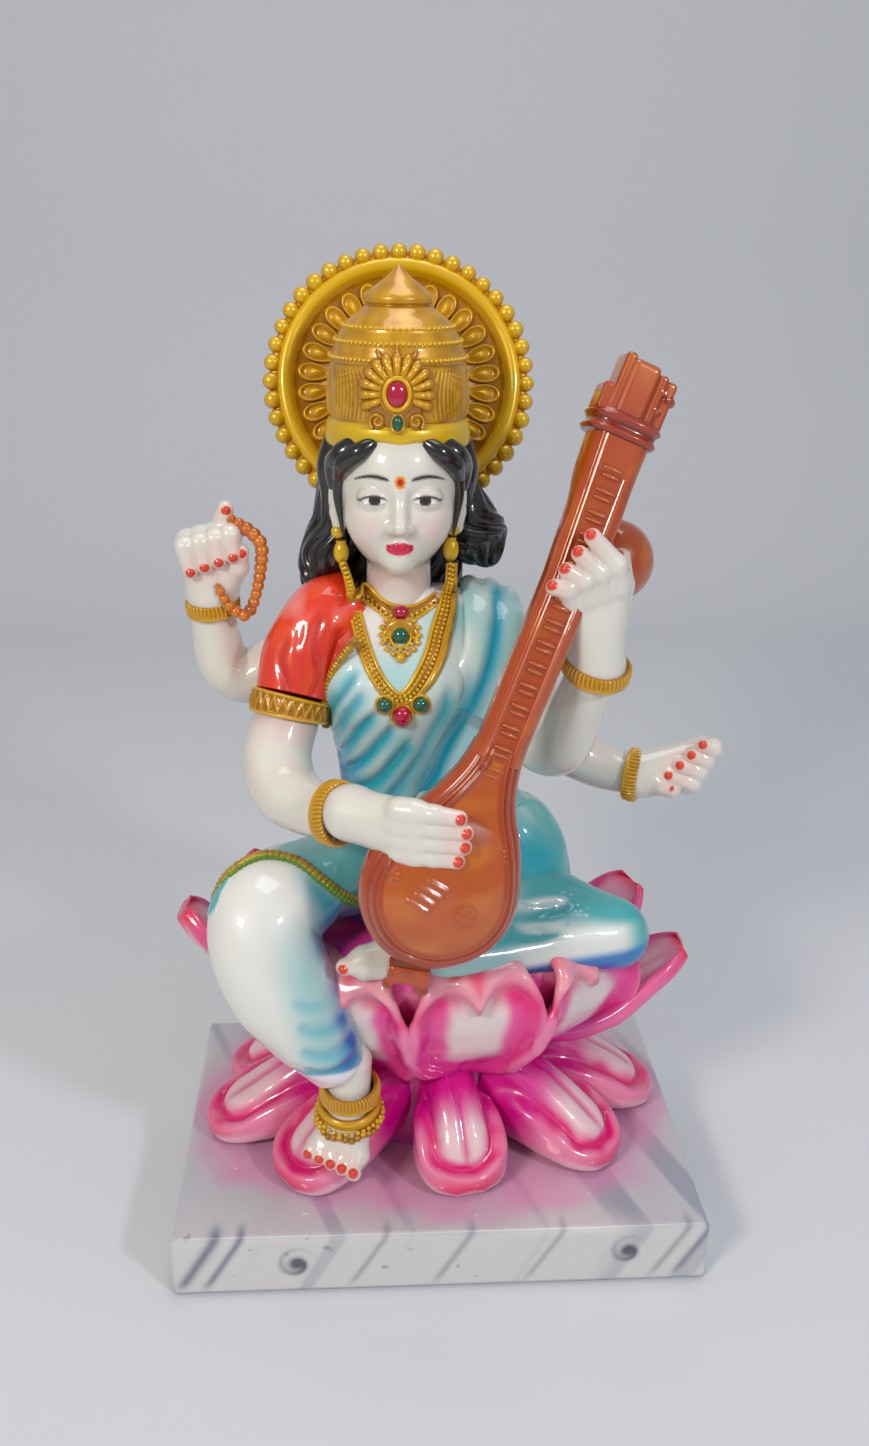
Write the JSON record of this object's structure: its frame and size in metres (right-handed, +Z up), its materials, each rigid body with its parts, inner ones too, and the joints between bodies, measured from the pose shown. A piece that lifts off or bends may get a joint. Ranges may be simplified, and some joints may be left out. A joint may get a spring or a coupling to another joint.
{
  "type": "seated figurine",
  "caption": "Cast and painted figurine: a crowned, many-armed seated musician with a long-necked lute, on a lotus and a flat plinth.",
  "frame": {"origin": "centre of the plinth's underside", "axes": "+Z up, -Y to the figure's front, +X to the figure's left"},
  "size_m": [0.1476, 0.0971, 0.2553],
  "materials": {
    "marble_paint": "white marble look, airbrushed grey veins, lacquered",
    "petal_paint": "airbrushed pink over white, lacquered",
    "cloth_paint": "airbrushed cyan over white, lacquered",
    "sleeve_paint": "red-orange paint, lacquered",
    "stone_paint": "crimson and green enamel",
    "hair_paint": "black paint, lacquered",
    "lute_varnish": "amber-brown paint, lacquered",
    "bead_paint": "brown paint, lacquered",
    "skin_paint": "milky white, lacquered",
    "gold_paint": "metallic gold paint, lacquered"
  },
  "bodies": {
    "root": {"plinth": "marble_paint", "lotus_seat": "petal_paint", "lower_petal_1": "petal_paint", "lower_petal_2": "petal_paint", "lower_petal_3": "petal_paint", "lower_petal_4": "petal_paint", "lower_petal_5": "petal_paint", "lower_petal_6": "petal_paint", "lower_petal_7": "petal_paint", "lower_petal_8": "petal_paint", "lower_petal_9": "petal_paint", "upper_petal_1": "petal_paint", "upper_petal_2": "petal_paint", "upper_petal_3": "petal_paint", "upper_petal_4": "petal_paint", "upper_petal_5": "petal_paint", "upper_petal_6": "petal_paint", "upper_petal_7": "petal_paint", "upper_petal_8": "petal_paint", "upper_petal_9": "petal_paint", "lap": "cloth_paint", "right_leg": "cloth_paint", "left_leg": "cloth_paint", "right_foot": "skin_paint", "left_foot": "skin_paint", "torso": "cloth_paint", "shoulder_drape": "cloth_paint", "sleeve": "sleeve_paint", "sleeve_hem": "gold_paint", "head": "skin_paint", "hair_right": "hair_paint", "hair_left": "hair_paint", "hair_back": "hair_paint", "crown": "gold_paint", "crown_crest": "gold_paint", "crown_stones": "stone_paint", "halo_disc": "gold_paint", "halo_drops": "gold_paint", "halo_beads": "gold_paint", "front_right_arm": "skin_paint", "front_right_hand": "skin_paint", "back_right_arm": "skin_paint", "back_right_hand": "skin_paint", "front_left_arm": "skin_paint", "front_left_hand": "skin_paint", "back_left_arm": "skin_paint", "back_left_hand": "skin_paint", "bangles": "gold_paint", "anklets": "gold_paint", "earrings": "gold_paint", "necklace": "gold_paint", "choker": "gold_paint", "neck_stones": "stone_paint", "prayer_beads": "bead_paint", "lute_body": "lute_varnish", "lute_neck": "lute_varnish", "lute_frets": "lute_varnish", "lute_pegbox": "lute_varnish", "lute_gourd": "lute_varnish", "lute_tailpiece": "lute_varnish"}
  },
  "joints": []
}
